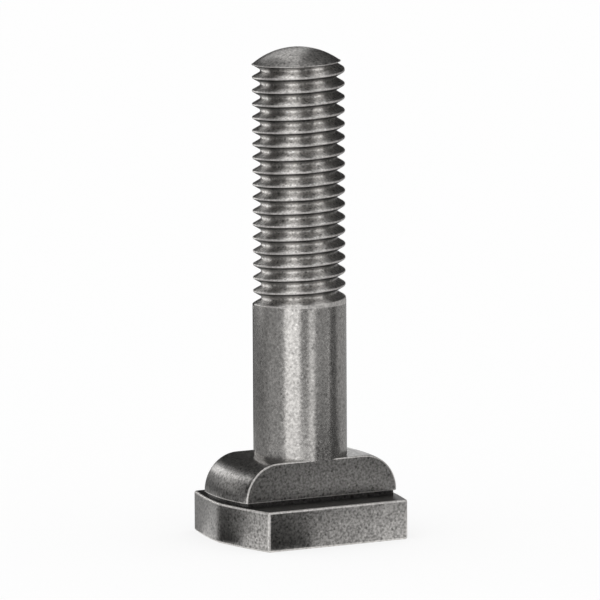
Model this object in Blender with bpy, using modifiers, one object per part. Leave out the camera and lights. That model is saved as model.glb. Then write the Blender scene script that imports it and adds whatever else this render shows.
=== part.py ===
"""T-slot bolt: one forged and machined steel bolt, standing on its T head, point up.

X runs along the slot that holds the head, Y across the slot, Z up the bolt.
The origin is the centre of the head's underside. Lengths are in metres.
"""
import math

import bmesh
import bpy
from mathutils import Matrix

MM = 0.001

# Shank and thread. Depth, crest flat and crest drop are shares of the pitch.
SHANK_DIAMETER = 14.0 * MM
THREAD_PITCH = 2.0 * MM
FLANK_ANGLE = math.radians(30)
THREAD_DEPTH_SHARE = 0.6134
CREST_FLAT_SHARE = 0.125
CREST_DROP_SHARE = 0.05
PLAIN_SHANK_LENGTH = 23.6 * MM
THREADED_LENGTH = 37.5 * MM
POINT_RADIUS = 10.5 * MM
RUNOUT_TURNS = 0.5
LEAD_IN_TURNS = 0.42
RUNOUT_ANGLE = math.radians(150)
CREST_STEP_LENGTH = 0.8 * MM

# T head, which slides under the lips of the slot
HEAD_THICKNESS = 6.0 * MM
HEAD_WIDTH = 23.5 * MM
HEAD_CORNER_LENGTH = 23.5 * MM
HEAD_END_BULGE = 2.35 * MM
HEAD_END_DRAFT = math.radians(6)
HEAD_EDGE_BREAK = 0.3 * MM

# Neck, which fills the slot between its lips
NECK_WIDTH = 13.4 * MM
NECK_HEIGHT = 6.3 * MM
NECK_END_SETBACK = 0.5 * MM
NECK_END_BOW = 0.9 * MM
SHOULDER_RADIUS = 5.5 * MM
NECK_EDGE_BREAK = 0.35 * MM
RELIEF_HEIGHT = 0.6 * MM
RELIEF_DEPTH = 0.35 * MM

# Steel
STEEL_COLOR = (0.33, 0.33, 0.34, 1)
STEEL_ROUGHNESS = 0.38

# Fineness of the round forms
TURN_STEPS = 36
END_STEPS = 5
NECK_SECTIONS = 6
SHOULDER_STEPS = 10
POINT_STEPS = 6
BREAK_SEGMENTS = 2
BREAK_ANGLE = math.radians(40)
SHARP_ANGLE = math.radians(30)
WELD_DISTANCE = 1e-6
OVERCUT = 2 * MM
CUTTER_CREST_SHARE = 0.8
CUTTER_LEAST_DEPTH = 0.03 * MM

# Sizes that follow from those above
NECK_TOP = HEAD_THICKNESS + NECK_HEIGHT
THREAD_BOTTOM = NECK_TOP + PLAIN_SHANK_LENGTH
BOLT_TOP = THREAD_BOTTOM + THREADED_LENGTH
SHANK_RADIUS = SHANK_DIAMETER / 2
CREST_RADIUS = SHANK_RADIUS - CREST_DROP_SHARE * THREAD_PITCH
CREST_FLAT = CREST_FLAT_SHARE * THREAD_PITCH
THREAD_DEPTH = THREAD_DEPTH_SHARE * THREAD_PITCH
POINT_CENTRE = BOLT_TOP - POINT_RADIUS
POINT_RIM = POINT_CENTRE + math.sqrt(POINT_RADIUS**2 - CREST_RADIUS**2)
HEAD_MIDDLE_REACH = HEAD_CORNER_LENGTH / 2 + HEAD_END_BULGE
NECK_MIDDLE_REACH = HEAD_MIDDLE_REACH - NECK_END_SETBACK
NECK_FOOT = HEAD_THICKNESS + RELIEF_HEIGHT
RELIEF_TOP = NECK_FOOT + RELIEF_DEPTH
RELIEF_ROOT = HEAD_THICKNESS / 2
SHANK_ROOT = HEAD_THICKNESS / 3


def clear_scene():
    for item in list(bpy.data.objects):
        bpy.data.objects.remove(item, do_unlink=True)


def new_collection(name):
    collection = bpy.data.collections.new(name)
    bpy.context.scene.collection.children.link(collection)
    return collection


def steel_material():
    material = bpy.data.materials.new("forged_steel")
    material.use_nodes = True
    shader = material.node_tree.nodes["Principled BSDF"]
    shader.inputs["Base Color"].default_value = STEEL_COLOR
    shader.inputs["Metallic"].default_value = 1.0
    shader.inputs["Roughness"].default_value = STEEL_ROUGHNESS
    return material


def add_object(name, mesh, collection):
    item = bpy.data.objects.new(name, mesh)
    collection.objects.link(item)
    return item


def add_tool(name, mesh, collection):
    """An object that only cuts or joins, so it is drawn as wire and never rendered."""
    tool = add_object(name, mesh, collection)
    tool.hide_render = True
    tool.display_type = "WIRE"
    return tool


def evaluated_mesh(item):
    graph = bpy.context.evaluated_depsgraph_get()
    return bpy.data.meshes.new_from_object(item.evaluated_get(graph))


def mesh_from(body, name):
    bmesh.ops.recalc_face_normals(body, faces=body.faces)
    mesh = bpy.data.meshes.new(name)
    body.to_mesh(mesh)
    body.free()
    return mesh


def loft(name, sections, collection):
    """A closed solid through sections that have the same number of points."""
    body = bmesh.new()
    rings = [[body.verts.new(point) for point in section] for section in sections]
    for ring, following in zip(rings, rings[1:]):
        for i, corner in enumerate(ring):
            j = (i + 1) % len(ring)
            body.faces.new((corner, following[i], following[j], ring[j]))
    body.faces.new(rings[0])
    body.faces.new(reversed(rings[-1]))
    return add_tool(name, mesh_from(body, name), collection)


def box(name, low, high, collection):
    """A box between two corners, from a cube primitive."""
    size = [b - a for a, b in zip(low, high)]
    middle = [(a + b) / 2 for a, b in zip(low, high)]
    body = bmesh.new()
    bmesh.ops.create_cube(body, size=1, matrix=Matrix.Translation(middle) @ Matrix.Diagonal((*size, 1)))
    return add_tool(name, mesh_from(body, name), collection)


def extruded_plan(name, outline, low, high, collection):
    """A closed plan outline extruded between two heights."""
    curve = bpy.data.curves.new(name, "CURVE")
    curve.dimensions = "2D"
    curve.fill_mode = "BOTH"
    curve.extrude = (high - low) / 2
    spline = curve.splines.new("POLY")
    spline.points.add(len(outline) - 1)
    for point, (x, y) in zip(spline.points, outline):
        point.co = (x, y, 0, 1)
    spline.use_cyclic_u = True
    source = add_object(name + "_outline", curve, collection)
    body = bmesh.new()
    body.from_mesh(evaluated_mesh(source))
    bpy.data.objects.remove(source, do_unlink=True)
    bmesh.ops.remove_doubles(body, verts=body.verts, dist=WELD_DISTANCE)
    bmesh.ops.translate(body, verts=body.verts, vec=(0, 0, (low + high) / 2))
    return add_tool(name, mesh_from(body, name), collection)


def boolean(item, operation, tool):
    cut = item.modifiers.new(operation.lower() + "_" + tool.name, "BOOLEAN")
    cut.operation = operation
    cut.solver = "EXACT"
    cut.object = tool


def break_edges(item, width):
    """Rounds the edges where two faces meet at a clear angle."""
    bevel = item.modifiers.new("edge_break", "BEVEL")
    bevel.width = width
    bevel.segments = BREAK_SEGMENTS
    bevel.limit_method = "ANGLE"
    bevel.angle_limit = BREAK_ANGLE


def arc(centre, radius, start, end, steps):
    """Points on an arc from one angle to another, both ends included."""
    angles = [start + (end - start) * i / steps for i in range(steps + 1)]
    return [(centre[0] + radius * math.cos(a), centre[1] + radius * math.sin(a)) for a in angles]


def head_outline():
    """Plan of the T head: straight along the slot, its ends bent steadily from a middle crease.

    The crease is where the forging dies parted. Each half end leaves it at the draft angle.
    """
    half_width = HEAD_WIDTH / 2
    slope = math.atan2(HEAD_END_BULGE, half_width)
    turn = 2 * (slope - HEAD_END_DRAFT)
    radius = math.hypot(half_width, HEAD_END_BULGE) / (2 * math.sin(turn / 2))
    centre_x = HEAD_MIDDLE_REACH - radius * math.cos(HEAD_END_DRAFT)
    centre = (centre_x, -radius * math.sin(HEAD_END_DRAFT))
    upper = arc(centre, radius, HEAD_END_DRAFT, HEAD_END_DRAFT + turn, END_STEPS)
    right = [(x, -y) for x, y in reversed(upper[1:])] + upper
    return right + [(-x, -y) for x, y in right]


def head_plate(collection):
    plate = extruded_plan("head_plate", head_outline(), 0, HEAD_THICKNESS, collection)
    break_edges(plate, HEAD_EDGE_BREAK)
    return plate


def neck_reach(share):
    """Distance from the middle to the neck's end, at a share of the half width across the slot."""
    return NECK_MIDDLE_REACH - NECK_END_BOW * share**2


def neck_section(share):
    """Arch of the neck across one place: upright ends, round shoulders, flat crown."""
    reach = neck_reach(share)
    centre = (reach - SHOULDER_RADIUS, NECK_TOP - SHOULDER_RADIUS)
    right = [(reach, NECK_FOOT)] + arc(centre, SHOULDER_RADIUS, 0, math.pi / 2, SHOULDER_STEPS)
    outline = right + [(-x, z) for x, z in reversed(right)]
    return [(x, share * NECK_WIDTH / 2, z) for x, z in outline]


def neck_block(collection):
    """The arched neck, its ends bowed in plan, standing on a core that leaves the relief round its foot."""
    shares = [2 * i / NECK_SECTIONS - 1 for i in range(NECK_SECTIONS + 1)]
    neck = loft("neck_block", [neck_section(share) for share in shares], collection)
    break_edges(neck, NECK_EDGE_BREAK)
    half_width = NECK_WIDTH / 2 - RELIEF_DEPTH
    right = [(neck_reach(share) - RELIEF_DEPTH, share * half_width) for share in shares]
    outline = right + [(-x, -y) for x, y in right]
    boolean(neck, "UNION", extruded_plan("relief_core", outline, RELIEF_ROOT, RELIEF_TOP, collection))
    return neck


def turned_shank(collection):
    """The turned blank: oval point, thread crest, plain shank, and a root inside the head."""
    rim_angle = math.asin((POINT_RIM - POINT_CENTRE) / POINT_RADIUS)
    point = arc((0, POINT_CENTRE), POINT_RADIUS, math.pi / 2, rim_angle, POINT_STEPS)
    profile = [(0, BOLT_TOP)] + point[1:]
    profile += [
        (CREST_RADIUS, THREAD_BOTTOM + CREST_STEP_LENGTH / 2),
        (SHANK_RADIUS, THREAD_BOTTOM - CREST_STEP_LENGTH / 2),
        (SHANK_RADIUS, NECK_TOP + NECK_EDGE_BREAK),
        (SHANK_RADIUS, SHANK_ROOT),
        (0, SHANK_ROOT),
    ]
    mesh = bpy.data.meshes.new("t_slot_bolt")
    edges = [(i, i + 1) for i in range(len(profile) - 1)]
    mesh.from_pydata([(radius, 0, height) for radius, height in profile], edges, [])
    shank = add_object("t_slot_bolt", mesh, collection)
    screw = shank.modifiers.new("turn", "SCREW")
    screw.steps = TURN_STEPS
    screw.render_steps = TURN_STEPS
    screw.use_merge_vertices = True
    screw.merge_threshold = WELD_DISTANCE
    return shank


def thread_groove(collection):
    """The right-hand helical groove: a loft of trapezoids that lifts out of the steel at both ends."""
    slope = math.tan(FLANK_ANGLE)
    outer = CREST_RADIUS + CUTTER_CREST_SHARE * CREST_FLAT / (2 * slope)
    root_half = (THREAD_PITCH - CREST_FLAT) / 2 - THREAD_DEPTH * slope
    full_turns = (POINT_RIM - THREAD_BOTTOM) / THREAD_PITCH
    start = RUNOUT_ANGLE / (2 * math.pi)
    first = round((start - RUNOUT_TURNS) * TURN_STEPS)
    last = round((start + full_turns + LEAD_IN_TURNS) * TURN_STEPS)
    sections = []
    for step in range(first, last + 1):
        turns = step / TURN_STEPS - start
        depth_share = min(1, 1 + turns / RUNOUT_TURNS, 1 + (full_turns - turns) / LEAD_IN_TURNS)
        root = outer - CUTTER_LEAST_DEPTH
        root -= max(0, depth_share) * (root - CREST_RADIUS + THREAD_DEPTH)
        outer_half = root_half + (outer - root) * slope
        height = THREAD_BOTTOM + turns * THREAD_PITCH
        angle = 2 * math.pi * step / TURN_STEPS
        corners = [(root, -root_half), (outer, -outer_half), (outer, outer_half), (root, root_half)]
        sections.append([(r * math.cos(angle), r * math.sin(angle), height + z) for r, z in corners])
    return loft("thread_groove", sections, collection)


def foot_cutters(collection):
    """Two boxes that trim the foot of the shank to inside the neck, up to a ledge at the crown."""
    near = NECK_WIDTH / 2 - RELIEF_DEPTH - NECK_EDGE_BREAK
    far = SHANK_RADIUS + OVERCUT
    ledge = NECK_TOP - NECK_EDGE_BREAK / 2
    front = box("foot_front", (-far, -far, SHANK_ROOT - OVERCUT), (far, -near, ledge), collection)
    back = box("foot_back", (-far, near, SHANK_ROOT - OVERCUT), (far, far, ledge), collection)
    return [front, back]


def finish(item, material):
    """Fixes the modifiers' result as the mesh, welds it and shades its round faces smooth."""
    body = bmesh.new()
    body.from_mesh(evaluated_mesh(item))
    bmesh.ops.remove_doubles(body, verts=body.verts, dist=WELD_DISTANCE)
    bmesh.ops.dissolve_degenerate(body, edges=body.edges, dist=WELD_DISTANCE)
    mesh = bpy.data.meshes.new(item.name)
    body.to_mesh(mesh)
    body.free()
    item.modifiers.clear()
    item.data = mesh
    mesh.materials.clear()
    mesh.materials.append(material)
    mesh.shade_smooth()
    mesh.set_sharp_from_angle(angle=SHARP_ANGLE)


def main():
    clear_scene()
    parts = new_collection("t_slot_bolt")
    tools = new_collection("cutters")
    bolt = turned_shank(parts)
    boolean(bolt, "DIFFERENCE", thread_groove(tools))
    for cutter in foot_cutters(tools):
        boolean(bolt, "DIFFERENCE", cutter)
    boolean(bolt, "UNION", neck_block(tools))
    boolean(bolt, "UNION", head_plate(tools))
    finish(bolt, steel_material())


main()
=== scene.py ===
import math

import bmesh
import bpy
from mathutils import Matrix, Vector


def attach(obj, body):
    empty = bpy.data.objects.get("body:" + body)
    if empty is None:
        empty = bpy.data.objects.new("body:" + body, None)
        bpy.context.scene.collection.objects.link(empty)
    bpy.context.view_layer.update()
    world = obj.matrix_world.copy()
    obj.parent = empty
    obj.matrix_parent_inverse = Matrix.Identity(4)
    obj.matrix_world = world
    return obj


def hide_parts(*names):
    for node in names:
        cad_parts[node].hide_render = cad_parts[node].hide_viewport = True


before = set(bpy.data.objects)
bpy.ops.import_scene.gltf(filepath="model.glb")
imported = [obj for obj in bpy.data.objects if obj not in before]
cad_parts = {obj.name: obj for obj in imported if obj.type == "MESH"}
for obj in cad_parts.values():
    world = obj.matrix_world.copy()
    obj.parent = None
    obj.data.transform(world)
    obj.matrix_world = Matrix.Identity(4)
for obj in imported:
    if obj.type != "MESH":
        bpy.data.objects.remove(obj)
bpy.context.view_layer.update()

MM = 0.001

# Sizes of the bolt, the same as in the solid
SHANK_RADIUS = 7.0 * MM
CREST_RADIUS = 6.9 * MM
PITCH = 2.0 * MM
FLANK_SLOPE = math.tan(math.radians(30))
CREST_FLAT = PITCH / 8
THREAD_DEPTH = 0.6134 * PITCH
ROOT_RADIUS = CREST_RADIUS - THREAD_DEPTH
NECK_TOP = 12.3 * MM
THREAD_BOTTOM = 35.9 * MM
BOLT_TOP = 73.4 * MM
POINT_RADIUS = 10.5 * MM
POINT_CENTRE = BOLT_TOP - POINT_RADIUS
POINT_RIM = POINT_CENTRE + math.sqrt(POINT_RADIUS**2 - CREST_RADIUS**2)
RUNOUT_TURNS = 0.5
LEAD_IN_TURNS = 0.42
RUNOUT_ANGLE = math.radians(150)
CREST_STEP_LENGTH = 0.8 * MM
HEAD_THICKNESS = 6.0 * MM
HEAD_HALF_WIDTH = 11.75 * MM
HEAD_HALF_CORNER = 11.75 * MM
HEAD_END_BULGE = 2.35 * MM
HEAD_END_DRAFT = math.radians(6)
HEAD_EDGE_BREAK = 0.3 * MM
NECK_HALF_WIDTH = 6.7 * MM
NECK_MIDDLE_REACH = 13.6 * MM
NECK_END_BOW = 0.9 * MM
SHOULDER_RADIUS = 5.5 * MM
NECK_EDGE_BREAK = 0.35 * MM
NECK_FOOT = 6.6 * MM
RELIEF_DEPTH = 0.35 * MM

# Rounding, and wear with a painted highlight, finer than the solid's
ROOT_ROUND = 0.1443 * PITCH
ROOT_TURN = math.radians(60)
# Each point is its depth under the crest, and its step past the straight flank
CREST_ROUND = (
    (0.6 * THREAD_DEPTH, 0),
    (0.12 * MM, 0),
    (0.05 * MM, 0.015 * MM),
    (0.012 * MM, 0.045 * MM),
)
CREST_END = (CREST_RADIUS + 0.004 * MM, (PITCH - CREST_FLAT) / 2 + 0.09 * MM)
# How deep the bright crest band goes: wear plus a painted highlight
CREST_WEAR_AND_HIGHLIGHT = 0.06 * MM
STEP_ROUND = 0.02 * MM
LIP_RADIUS = 0.06 * MM
LIP_SPACING = 0.08 * MM

# Fineness
TURN_STEPS = 120
POINT_STEPS = 24
ROOT_STEPS = 3
SHOULDER_STEPS = 24
NECK_SECTIONS = 16
END_STEPS = 10
LIP_SIDES = 8
BREAK_SEGMENTS = 4
BREAK_ANGLE = math.radians(40)
SHARP_ANGLE = math.radians(32)
WELD = 0.2e-6
NEAR = 0.01 * MM
DOME_SAG = 0.03 * MM

# The groove's cutter reaches past the crests, and never gets thinner than its least depth
CUTTER_RADIUS = CREST_RADIUS + 0.17 * MM
CUTTER_HALF_WIDTH = PITCH / 2 - 0.02 * MM
CUTTER_LEAST_DEPTH = 0.03 * MM

# The turned blank ends inside the head
BLANK_FOOT = 2 * MM

# Steel: how many grains, pits and flecks there are to a metre, and how warm its grey is
MOTTLE_SCALE = 240.0
GRAIN_SCALE = 2700.0
SPECK_SCALE = 4200.0
PIT_SCALE = 1050.0
FLECK_SCALE = 1300.0
FLECK_SHARE = 0.8
ROUGHNESS_SPREAD = 0.05
TINT = (1.03, 1.0, 0.965)

# Camera, at the photograph's viewing angle, with its sizes in pixels of the photo
PIXEL = 0.149 * MM
FRAME_PIXELS = 600
CAMERA_TURN = math.radians(28.8)
CAMERA_TILT = math.radians(8.2)
CAMERA_ROLL = math.radians(-0.3)
CAMERA_PIXELS = 8000
AIM_HEIGHT = 237.9 * PIXEL
AIM_SHIFT = 0.6 * PIXEL
SENSOR = 36
RIGHT = Vector((math.cos(CAMERA_TURN), -math.sin(CAMERA_TURN), 0))
AWAY = Vector((math.sin(CAMERA_TURN), math.cos(CAMERA_TURN), 0))
UP = Vector((0, 0, 1))

# Stage
FLOOR_RADIUS = 4.0
STUDIO_LEVEL = 0.8

# Where the cards stand, in millimetres, and how many degrees one of their faces takes
WALL = 100
CEILING = 200
TABLE = 0.1
AXIS_GAP = 0.01
CARD_STEP = 6


# Modelling helpers

def evaluated(item):
    graph = bpy.context.evaluated_depsgraph_get()
    return bpy.data.meshes.new_from_object(item.evaluated_get(graph))


def applied(item):
    """Makes what the item's modifiers give into its own mesh."""
    mesh = evaluated(item)
    item.modifiers.clear()
    item.data = mesh
    return item


def add(name, mesh):
    item = bpy.data.objects.new(name, mesh)
    bpy.context.scene.collection.objects.link(item)
    return item


def mesh_from(body, name, outward=True):
    """Makes a bmesh into a mesh and frees it, with its faces turned outward unless told otherwise."""
    if outward:
        bmesh.ops.recalc_face_normals(body, faces=body.faces)
    mesh = bpy.data.meshes.new(name)
    body.to_mesh(mesh)
    body.free()
    return mesh


def loft(name, sections):
    body = bmesh.new()
    rings = [[body.verts.new(point) for point in section] for section in sections]
    for ring, following in zip(rings, rings[1:]):
        for i, corner in enumerate(ring):
            j = (i + 1) % len(ring)
            body.faces.new((corner, following[i], following[j], ring[j]))
    body.faces.new(rings[0])
    body.faces.new(reversed(rings[-1]))
    return add(name, mesh_from(body, name))


def box(name, low, high):
    size = [b - a for a, b in zip(low, high)]
    middle = [(a + b) / 2 for a, b in zip(low, high)]
    body = bmesh.new()
    bmesh.ops.create_cube(body, size=1, matrix=Matrix.Translation(middle) @ Matrix.Diagonal((*size, 1)))
    return add(name, mesh_from(body, name))


def extruded(name, outline, low, high):
    return loft(name, [[(x, y, z) for x, y in outline] for z in (low, high)])


def arc(centre, radius, start, end, steps):
    angles = [start + (end - start) * i / steps for i in range(steps + 1)]
    return [(centre[0] + radius * math.cos(a), centre[1] + radius * math.sin(a)) for a in angles]


def both_halves(right):
    """An outline from its right half and the same half turned round to the left."""
    return right + [(-x, -y) for x, y in right]


def boolean(item, operation, tool):
    cut = item.modifiers.new("cut", "BOOLEAN")
    cut.operation = operation
    cut.solver = "EXACT"
    cut.object = tool
    applied(item)
    bpy.data.objects.remove(tool, do_unlink=True)


# Materials

class Nodes:
    """Short names for building a node tree."""

    def __init__(self, tree):
        self.tree = tree

    def new(self, kind, **settings):
        node = self.tree.nodes.new(kind)
        inputs = settings.pop("inputs", {})
        for key, value in settings.items():
            setattr(node, key, value)
        for key, value in inputs.items():
            if isinstance(value, bpy.types.NodeSocket):
                self.link(value, node.inputs[key])
            else:
                node.inputs[key].default_value = value
        return node

    def link(self, source, target):
        self.tree.links.new(source, target)

    def math(self, operation, a, b=0.0, clamp=False):
        inputs = {0: a, 1: b}
        return self.new("ShaderNodeMath", operation=operation, use_clamp=clamp, inputs=inputs).outputs[0]

    def vector(self, operation, a, b=(0, 0, 0)):
        return self.new("ShaderNodeVectorMath", operation=operation, inputs={0: a, 1: b}).outputs

    def noise(self, vector, scale, detail=1.0, rough=0.5):
        inputs = {"Vector": vector, "Scale": scale, "Detail": detail, "Roughness": rough}
        return self.new("ShaderNodeTexNoise", inputs=inputs).outputs[0]

    def dots(self, vector, scale):
        """The distance to the nearest of a field of scattered dots."""
        node = self.new("ShaderNodeTexVoronoi", feature="F1", inputs={"Vector": vector, "Scale": scale})
        return node.outputs["Distance"]

    def ramp(self, value, low, high, out_low, out_high):
        node = self.new("ShaderNodeMapRange", inputs={0: value, 1: low, 2: high, 3: out_low, 4: out_high})
        return node.outputs[0]

    def seen(self):
        """1 for what the camera sees directly, in metal or through glass, and 0 for light on the object."""
        path = self.new("ShaderNodeLightPath").outputs
        direct = self.math("ADD", path["Is Camera Ray"], path["Is Glossy Ray"])
        return self.math("ADD", direct, path["Is Transmission Ray"], clamp=True)


def new_material(name):
    material = bpy.data.materials.new(name)
    material.use_nodes = True
    material.node_tree.nodes.clear()
    nodes = Nodes(material.node_tree)
    return material, nodes, nodes.new("ShaderNodeOutputMaterial")


def painted_underside_shade(n, coordinates, under):
    """Painted shade on the undersides of the thread, darkest towards the crest."""
    across = n.vector("MULTIPLY", coordinates["Object"], (1, 1, 0))[0]
    radius = n.vector("LENGTH", across)[1]
    deep = CREST_RADIUS - 0.85 * THREAD_DEPTH
    shallow = CREST_RADIUS - 0.35 * THREAD_DEPTH
    # Painted shade: faces that point down are darkened, most near the crest
    shade = n.ramp(radius, deep, shallow, 0.65, under)
    upward = n.new("ShaderNodeSeparateXYZ", inputs={0: coordinates["Normal"]}).outputs[2]
    return n.ramp(upward, -0.7, -0.3, shade, 1.0)


def steel_material(name, tone, roughness, grain_share, dot_share=0.5, along=0.0, under=1.0, metallic=1.0):
    """Satin steel with fine grain, dark pits and light flecks.

    The shares are how far the grain and the dots change the tone. Along is how far a turned surface spreads
    its shine along the bolt. Under is how much tone the painted shade on the thread's undersides leaves at
    the crest.
    """
    material, n, output = new_material(name)
    coordinates = n.new("ShaderNodeTexCoord").outputs
    place = coordinates["Object"]
    mottle = n.noise(place, MOTTLE_SCALE, 4.0, 0.6)
    grain = n.noise(place, GRAIN_SCALE)
    speck = n.noise(place, SPECK_SCALE)
    patterns = (
        (grain, 0.3, 0.7, 1 - grain_share, 1 + grain_share),
        (speck, 0.26, 0.34, 1 - grain_share, 1.0),
        (speck, 0.66, 0.74, 1.0, 1 + grain_share),
        (n.dots(place, PIT_SCALE), 0.18, 0.27, 1 - dot_share, 1.0),
        (n.dots(place, FLECK_SCALE), 0.15, 0.24, 1 + FLECK_SHARE * dot_share, 1.0),
    )
    value = n.ramp(mottle, 0.3, 0.7, 0.94, 1.06)
    for pattern, low, high, at_low, at_high in patterns:
        value = n.math("MULTIPLY", value, n.ramp(pattern, low, high, at_low, at_high))
    value = n.math("MULTIPLY", value, tone)
    # Painted shade on the thread's undersides
    if under < 1:
        value = n.math("MULTIPLY", value, painted_underside_shade(n, coordinates, under))
    parts = {i: n.math("MULTIPLY", value, share, clamp=True) for i, share in enumerate(TINT)}
    color = n.new("ShaderNodeCombineColor", inputs=parts).outputs[0]
    rough = n.ramp(speck, 0.3, 0.7, roughness - ROUGHNESS_SPREAD, roughness + ROUGHNESS_SPREAD)
    bump = n.new("ShaderNodeBump", inputs={"Strength": 0.08, "Distance": 0.02 * MM, "Height": grain})
    inputs = {"Base Color": color, "Metallic": metallic, "Roughness": rough, "Normal": bump.outputs[0]}
    shader = n.new("ShaderNodeBsdfPrincipled", inputs=inputs)
    if along:
        round_axis = n.new("ShaderNodeTangent", direction_type="RADIAL", axis="Z")
        n.link(round_axis.outputs[0], shader.inputs["Tangent"])
        shader.inputs["Anisotropic"].default_value = along
        shader.inputs["Anisotropic Rotation"].default_value = 0.25
    n.link(shader.outputs[0], output.inputs[0])
    return material


FORGED, SHANK, THREAD, EDGE, PAINTED_SHADE, POINT = range(6)
FINISHES = (
    steel_material("forged_steel", 0.28, 0.33, 0.42, 0.42),
    steel_material("turned_steel", 0.53, 0.23, 0.26, 0.3),
    # The thread steel carries painted shade on its undersides, set by under
    steel_material("thread_steel", 0.77, 0.44, 0.26, 0.4, along=0.9, under=0.1),
    # Edge steel is lighter for wear, and also as a painted highlight along edges and crests
    steel_material("worn_edge_highlight_steel", 0.65, 0.4, 0.2, 0.2, metallic=0.6),
    # Near black painted shade for the head's top and the recess under the neck
    steel_material("painted_shade_steel", 0.08, 0.4, 0.4),
    steel_material("point_steel", 0.5, 0.33, 0.34, 0.35),
)


def finished(item):
    """Gives a body of the bolt all the finishes, so that a Boolean keeps each face's own."""
    for finish in FINISHES:
        item.data.materials.append(finish)
    return item


# The turned and threaded shank

def turned_blank():
    rim_angle = math.asin((POINT_RIM - POINT_CENTRE) / POINT_RADIUS)
    point = arc((0, POINT_CENTRE), POINT_RADIUS, math.pi / 2, rim_angle, POINT_STEPS)
    half = CREST_STEP_LENGTH / 2
    profile = [(0, BOLT_TOP)] + point[1:]
    profile += [
        (CREST_RADIUS, THREAD_BOTTOM + half),
        (SHANK_RADIUS - STEP_ROUND, THREAD_BOTTOM - 0.7 * half),
        (SHANK_RADIUS, THREAD_BOTTOM - half),
        (SHANK_RADIUS, THREAD_BOTTOM - CREST_STEP_LENGTH),
        (SHANK_RADIUS, NECK_TOP + 0.3 * MM),
        (SHANK_RADIUS, BLANK_FOOT),
        (0, BLANK_FOOT),
    ]
    mesh = bpy.data.meshes.new("t_slot_bolt_steel")
    edges = [(i, i + 1) for i in range(len(profile) - 1)]
    mesh.from_pydata([(radius, 0, height) for radius, height in profile], edges, [])
    blank = add("t_slot_bolt_steel", mesh)
    screw = blank.modifiers.new("turn", "SCREW")
    screw.steps = TURN_STEPS
    screw.render_steps = TURN_STEPS
    screw.use_merge_vertices = True
    screw.merge_threshold = WELD
    return applied(blank)


def groove_half():
    """Half of the groove's section, as (radius, half width), from its round root out past the crest."""
    half = []
    for step in range(ROOT_STEPS + 1):
        turn = ROOT_TURN * step / ROOT_STEPS
        half.append((ROOT_RADIUS + ROOT_ROUND * (1 - math.cos(turn)), ROOT_ROUND * math.sin(turn)))
    for depth, past in CREST_ROUND:
        half.append((CREST_RADIUS - depth, (PITCH - CREST_FLAT) / 2 - depth * FLANK_SLOPE + past))
    return half + [CREST_END, (CUTTER_RADIUS, CUTTER_HALF_WIDTH)]


def thread_groove():
    """The cutter: its section goes round the bolt on a right-hand helix, and gets smaller at both ends."""
    half = groove_half()
    section = [(radius, -width) for radius, width in reversed(half[1:])] + half
    full_depth = CUTTER_RADIUS - ROOT_RADIUS
    full_turns = (POINT_RIM - THREAD_BOTTOM) / PITCH
    start = RUNOUT_ANGLE / (2 * math.pi)
    first = round((start - RUNOUT_TURNS) * TURN_STEPS)
    last = round((start + full_turns + LEAD_IN_TURNS) * TURN_STEPS)
    sections = []
    for step in range(first, last + 1):
        turns = step / TURN_STEPS - start
        share = min(1, 1 + turns / RUNOUT_TURNS, 1 + (full_turns - turns) / LEAD_IN_TURNS)
        depth = CUTTER_LEAST_DEPTH + max(0, share) * (full_depth - CUTTER_LEAST_DEPTH)
        size = depth / full_depth
        height = THREAD_BOTTOM + turns * PITCH
        angle = 2 * math.pi * step / TURN_STEPS
        ring = []
        for radius, width in section:
            reach = CUTTER_RADIUS - (CUTTER_RADIUS - radius) * size
            ring.append((reach * math.cos(angle), reach * math.sin(angle), height + width * size))
        sections.append(ring)
    return finished(loft("groove", sections))


def turned_finish(place):
    """The finish at a place on the turned part: point, plain shank, worn crest with a painted highlight, or
    thread.
    """
    radius = math.hypot(place.x, place.y)
    domed = math.hypot(radius, place.z - POINT_CENTRE) > POINT_RADIUS - DOME_SAG
    if domed and place.z > POINT_CENTRE:
        return POINT
    if place.z < THREAD_BOTTOM - CREST_STEP_LENGTH:
        return SHANK
    return EDGE if radius > CREST_RADIUS - CREST_WEAR_AND_HIGHLIGHT else THREAD


def point_edge(mesh):
    """Places along the closed edge where the domed point meets the thread, in order."""
    body = bmesh.new()
    body.from_mesh(mesh)
    links = {}
    for edge in body.edges:
        kinds = {face.material_index == POINT for face in edge.link_faces}
        if len(kinds) == 2:
            for vert, other in (edge.verts, reversed(edge.verts)):
                links.setdefault(vert.index, []).append(other.index)
    places = [vert.co.copy() for vert in body.verts]
    body.free()
    start = max(links, key=lambda i: places[i].x)
    chain = [start]
    before, here = None, start
    for _ in links:
        following = [i for i in links[here] if i != before]
        if not following or following[0] == start:
            break
        before, here = here, following[0]
        chain.append(here)
    kept = [places[start]]
    for i in chain[1:]:
        if (places[i] - kept[-1]).length > LIP_SPACING:
            kept.append(places[i])
    return kept


def lip(mesh):
    """A thin round lip along the edge of the point, where the turned edge is worn bright and has a painted
    highlight.
    """
    path = point_edge(mesh)
    angles = [2 * math.pi * k / LIP_SIDES for k in range(LIP_SIDES)]
    body = bmesh.new()
    rings = []
    for i, place in enumerate(path):
        ahead = (path[(i + 1) % len(path)] - path[i - 1]).normalized()
        across = ahead.cross(Vector((place.x, place.y, 0)).normalized()).normalized()
        out = across.cross(ahead)
        spokes = [LIP_RADIUS * (math.cos(a) * out + math.sin(a) * across) for a in angles]
        rings.append([body.verts.new(place + spoke) for spoke in spokes])
    for i, ring in enumerate(rings):
        before = rings[i - 1]
        for k in range(LIP_SIDES):
            body.faces.new((before[k], before[k - 1], ring[k - 1], ring[k]))
    item = finished(add("lip", mesh_from(body, "lip")))
    for face in item.data.polygons:
        face.material_index = EDGE
    return item


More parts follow.
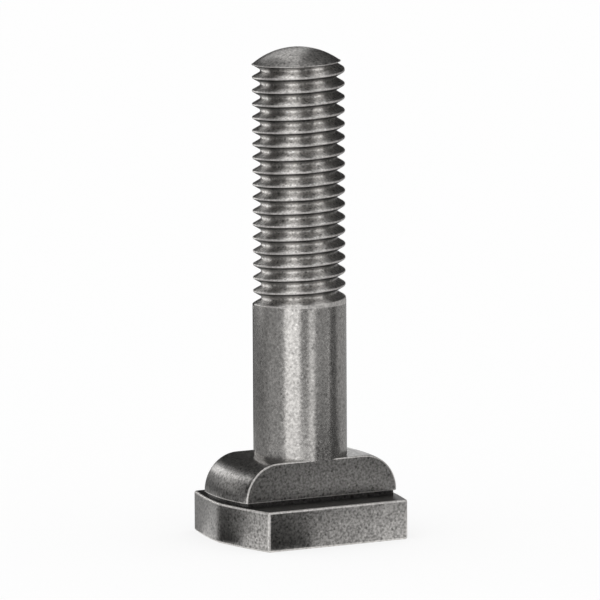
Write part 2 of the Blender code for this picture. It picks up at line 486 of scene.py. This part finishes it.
def shank():
    """The threaded shank, cut back below the neck's top to stay inside the neck's flat sides."""
    steel = finished(turned_blank())
    boolean(steel, "DIFFERENCE", thread_groove())
    for face in steel.data.polygons:
        face.material_index = turned_finish(face.center)
    boolean(steel, "UNION", lip(steel.data))
    near = NECK_HALF_WIDTH - RELIEF_DEPTH - NECK_EDGE_BREAK
    far = SHANK_RADIUS + 2 * MM
    top = NECK_TOP - NECK_EDGE_BREAK / 2
    boolean(steel, "DIFFERENCE", box("foot_front", (-far, -far, -MM), (far, -near, top)))
    boolean(steel, "DIFFERENCE", box("foot_back", (-far, near, -MM), (far, far, top)))
    return steel


# The neck and the head

def worn_with_highlight(item, width):
    """A body with its edges broken to a width, and the breaks worn bright with a painted highlight."""
    finished(item)
    edges = item.modifiers.new("break", "BEVEL")
    edges.width = width
    edges.segments = BREAK_SEGMENTS
    edges.limit_method = "ANGLE"
    edges.angle_limit = BREAK_ANGLE
    edges.material = EDGE
    return applied(item)


def neck_reach(share):
    """How far the neck's bowed end reaches, at a share of its half width."""
    return NECK_MIDDLE_REACH - NECK_END_BOW * share**2


def neck_section(share):
    reach = neck_reach(share)
    centre = (reach - SHOULDER_RADIUS, NECK_TOP - SHOULDER_RADIUS)
    right = [(reach, NECK_FOOT)] + arc(centre, SHOULDER_RADIUS, 0, math.pi / 2, SHOULDER_STEPS)
    outline = right + [(-x, z) for x, z in reversed(right)]
    return [(x, share * NECK_HALF_WIDTH, z) for x, z in outline]


def neck_parts():
    """The neck, and the core that carries it over the relief."""
    shares = [2 * i / NECK_SECTIONS - 1 for i in range(NECK_SECTIONS + 1)]
    neck = worn_with_highlight(loft("neck", [neck_section(share) for share in shares]), NECK_EDGE_BREAK)
    inset = NECK_HALF_WIDTH - RELIEF_DEPTH
    right = [(neck_reach(share) - RELIEF_DEPTH, share * inset) for share in shares]
    core = extruded("core", both_halves(right), HEAD_THICKNESS / 2, NECK_FOOT + RELIEF_DEPTH)
    return neck, finished(core)


def head_outline():
    """The plate seen from above: straight sides, and bowed ends that meet in a low ridge at the middle."""
    slope = math.atan2(HEAD_END_BULGE, HEAD_HALF_WIDTH)
    turn = 2 * (slope - HEAD_END_DRAFT)
    radius = math.hypot(HEAD_HALF_WIDTH, HEAD_END_BULGE) / (2 * math.sin(turn / 2))
    centre_x = HEAD_HALF_CORNER + HEAD_END_BULGE - radius * math.cos(HEAD_END_DRAFT)
    centre = (centre_x, -radius * math.sin(HEAD_END_DRAFT))
    upper = arc(centre, radius, HEAD_END_DRAFT, HEAD_END_DRAFT + turn, END_STEPS)
    return both_halves([(x, -y) for x, y in reversed(upper[1:])] + upper)


def plate():
    return worn_with_highlight(extruded("plate", head_outline(), 0, HEAD_THICKNESS), HEAD_EDGE_BREAK)


# The whole bolt, one piece

def welded(item):
    body = bmesh.new()
    body.from_mesh(item.data)
    bmesh.ops.remove_doubles(body, verts=body.verts, dist=WELD)
    bmesh.ops.dissolve_degenerate(body, edges=body.edges, dist=WELD)
    item.data = mesh_from(body, "t_slot_bolt_steel", outward=False)
    return finished(item)


def bolt():
    steel = shank()
    for part in (*neck_parts(), plate()):
        boolean(steel, "UNION", part)
    welded(steel)
    # Painted shade: the head's top and the recess under the neck's foot get the near black steel
    for face in steel.data.polygons:
        if face.material_index == FORGED and HEAD_THICKNESS - NEAR < face.center.z < NECK_FOOT + NEAR:
            face.material_index = PAINTED_SHADE
    steel.data.shade_smooth()
    steel.data.set_sharp_from_angle(angle=SHARP_ANGLE)
    weighted = steel.modifiers.new("normals", "WEIGHTED_NORMAL")
    weighted.keep_sharp = True
    weighted.weight = 100
    return steel


# Stage

def floor_material():
    """White for what is seen directly or in the metal, and it still takes the bolt's shadow."""
    material, n, output = new_material("floor_paper")
    paper = n.new("ShaderNodeBsdfDiffuse", inputs={"Color": (0.8, 0.8, 0.8, 1)}).outputs[0]
    soft = n.new("ShaderNodeBsdfDiffuse", inputs={"Color": (0.3, 0.3, 0.3, 1)}).outputs[0]
    glow = n.new("ShaderNodeEmission", inputs={"Color": (1, 1, 1, 1), "Strength": 0.75}).outputs[0]
    bright = n.new("ShaderNodeAddShader", inputs={0: soft, 1: glow}).outputs[0]
    mix = n.new("ShaderNodeMixShader", inputs={0: n.seen(), 1: paper, 2: bright}).outputs[0]
    n.link(mix, output.inputs[0])
    return material


def stage():
    body = bmesh.new()
    bmesh.ops.create_circle(body, cap_ends=True, segments=96, radius=FLOOR_RADIUS)
    floor = add("floor", mesh_from(body, "floor"))
    floor.data.materials.append(floor_material())
    world = bpy.data.worlds.new("studio")
    bpy.context.scene.world = world
    world.use_nodes = True
    world.node_tree.nodes.clear()
    n = Nodes(world.node_tree)
    strength = n.ramp(n.seen(), 0.0, 1.0, STUDIO_LEVEL, 1.0)
    back = n.new("ShaderNodeBackground", inputs={"Color": (1, 1, 1, 1), "Strength": strength})
    n.link(back.outputs[0], n.new("ShaderNodeOutputWorld").inputs[0])


def camera():
    forward = math.cos(CAMERA_TILT) * AWAY - math.sin(CAMERA_TILT) * UP
    up = RIGHT.cross(forward)
    across = math.cos(CAMERA_ROLL) * RIGHT + math.sin(CAMERA_ROLL) * up
    upright = -math.sin(CAMERA_ROLL) * RIGHT + math.cos(CAMERA_ROLL) * up
    aim = AIM_HEIGHT * UP + AIM_SHIFT * RIGHT
    data = bpy.data.cameras.new("camera")
    data.sensor_width = SENSOR
    data.lens = SENSOR * CAMERA_PIXELS / FRAME_PIXELS
    data.clip_start = 0.01
    data.clip_end = 50
    item = bpy.data.objects.new("camera", data)
    pose = Matrix((across, upright, -forward)).transposed().to_4x4()
    pose.translation = aim - CAMERA_PIXELS * PIXEL * forward
    item.matrix_world = pose
    bpy.context.scene.collection.objects.link(item)
    bpy.context.scene.camera = item


# Cards, like the flags and lights that a photographer stands round a metal part

def card(name, tone, body):
    """A card that only the steel mirrors, black at a tone of 0 and white at 1."""
    item = add(name, mesh_from(body, name, outward=False))
    material, n, output = new_material(name)
    glow = n.new("ShaderNodeEmission", inputs={"Color": (1, 1, 1, 1), "Strength": tone})
    n.link(glow.outputs[0], output.inputs[0])
    item.data.materials.append(material)
    item.visible_camera = False
    item.visible_diffuse = False
    item.visible_shadow = False


def direction(turn):
    """The level direction from the bolt at a turn, in degrees from the photograph's side to its right."""
    angle = math.radians(turn)
    return -math.cos(angle) * AWAY + math.sin(angle) * RIGHT


def curved_card(name, tone, turns, start, end, climb=0):
    """A card that goes round the bolt from one turn to another, between two (distance, height) rims.

    Climb is how much higher its last side is than its first. Lengths are in millimetres.
    """
    steps = max(2, round((turns[1] - turns[0]) / CARD_STEP))
    shares = [i / steps for i in range(steps + 1)]
    body = bmesh.new()
    rims = []
    for distance, height in (start, end):
        rim = []
        for share in shares:
            level = distance * direction(turns[0] + (turns[1] - turns[0]) * share)
            rim.append(body.verts.new(MM * (level + (height + climb * share) * UP)))
        rims.append(rim)
    for i in range(steps):
        body.faces.new((rims[0][i], rims[0][i + 1], rims[1][i + 1], rims[1][i]))
    card(name, tone, body)


def wall_card(name, tone, turns, low, high):
    curved_card(name, tone, turns, (WALL, low), (WALL, high))


def ceiling_card(name, tone, turns, inner=AXIS_GAP):
    curved_card(name, tone, turns, (inner, CEILING), (WALL, CEILING))


def table_card(name, tone, turns, inner):
    curved_card(name, tone, turns, (inner, TABLE), (WALL, TABLE))


def table_patch(name, tone, corners):
    body = bmesh.new()
    body.faces.new([body.verts.new((x * MM, y * MM, TABLE * MM)) for x, y in corners])
    card(name, tone, body)


def front_cards():
    """The light band down the shank, between its dark sides."""
    wall_card("left_low_flag", 0.26, (-98, -80), 0, 34)
    wall_card("left_near_low_flag", 0.36, (-80, -36), 0, 34)
    wall_card("left_flag", 0.0, (-98, -36), 34, CEILING)
    wall_card("key_light", 1.25, (-36, 1), 0, CEILING)
    wall_card("centre_flag", 0.24, (1, 22), 0, 40)
    wall_card("upper_flag", 0.0, (1, 46), 40, CEILING)
    wall_card("side_flag", 0.33, (36, 73), 0, 50)
    wall_card("second_light", 1.8, (48, 74), 50, 100)


def back_cards():
    """The dark right side, the light on the point and the slanted band on the neck's shoulder."""
    wall_card("right_low_flag", 0.12, (75, 100), 0, 40)
    wall_card("right_flag", 0.03, (75, 108), 40, CEILING)
    wall_card("back_right_low_flag", 0.36, (100, 170), 0, 40)
    wall_card("back_right_middle_flag", 0.03, (108, 176), 40, 130)
    wall_card("back_right_top_flag", 0.08, (108, 174), 130, CEILING)
    wall_card("patch_light", 1.5, (170, 178), 0, 60)
    wall_card("back_flag", 0.03, (178, 206), 0, 110)
    wall_card("dome_light", 0.72, (174, 206), 110, CEILING)
    wall_card("back_left_low_flag", 0.2, (206, 238), 0, 30)
    wall_card("back_left_near_flag", 0.18, (238, 262), 0, 22)
    wall_card("end_wall_low_light", 0.85, (232, 262), 22, 56)
    wall_card("back_left_middle_flag", 0.03, (206, 238), 30, 130)
    wall_card("back_left_upper_flag", 0.03, (238, 262), 56, 130)
    curved_card("end_wall_light", 0.65, (226, 262), (99.5, 20), (99.5, 46), 34)
    curved_card("shoulder_light", 2.9, (212, 260), (99, 22), (99, 41), 54)
    wall_card("back_left_top_flag", 0.2, (206, 262), 130, CEILING)


def ceiling_cards():
    """The light and dark of the thread's upper flanks and of the point."""
    ceiling_card("top_light", 2.4, (-84, -2), 30)
    ceiling_card("top_flag", 0.0, (-2, 56))
    ceiling_card("top_right_light", 1.6, (58, 106), 30)
    ceiling_card("ceiling_right_flag", 0.05, (106, 178))
    ceiling_card("ceiling_back_light", 0.9, (178, 208), 30)
    ceiling_card("ceiling_left_flag", 0.1, (208, 276))


def table_cards():
    """The tones of the head's upright sides, which mirror the table near the bolt."""
    table_card("left_floor_flag", 0.3, (-154, -36), 52)
    table_card("back_floor_flag", 0.36, (112, 206), 52)
    table_card("right_floor_flag", 0.05, (76, 112), 25)
    table_card("side_floor_flag", 0.0, (34, 76), 50)
    table_patch("front_left_dark", 0.0, ((-17, -12.8), (-4, -12.8), (17.5, -52), (-8, -52)))
    table_patch("front_right_light", 1.45, ((7, -12.8), (14, -12.8), (31, -42), (24, -42)))
    table_patch("near_left_light", 1.5, ((-13.2, -12.4), (-14.5, -5), (-42, 14), (-50, 4), (-50, -6)))
    table_patch("left_dark", 0.0, ((-14.8, -4.5), (-14.8, 1.2), (-34, 36), (-46, 28), (-46, 17)))
    table_patch("far_left_light", 1.1, ((-14.8, 2), (-33, 38), (-22, 46), (-13, 8)))
    table_patch("far_left_dark", 0.42, ((-13, 8), (-22, 46), (-4, 50), (-11, 13)))


steel = bolt()
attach(steel, "root")
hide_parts("t_slot_bolt")
stage()
camera()
front_cards()
back_cards()
ceiling_cards()
table_cards()
bpy.context.scene.view_settings.view_transform = "Standard"
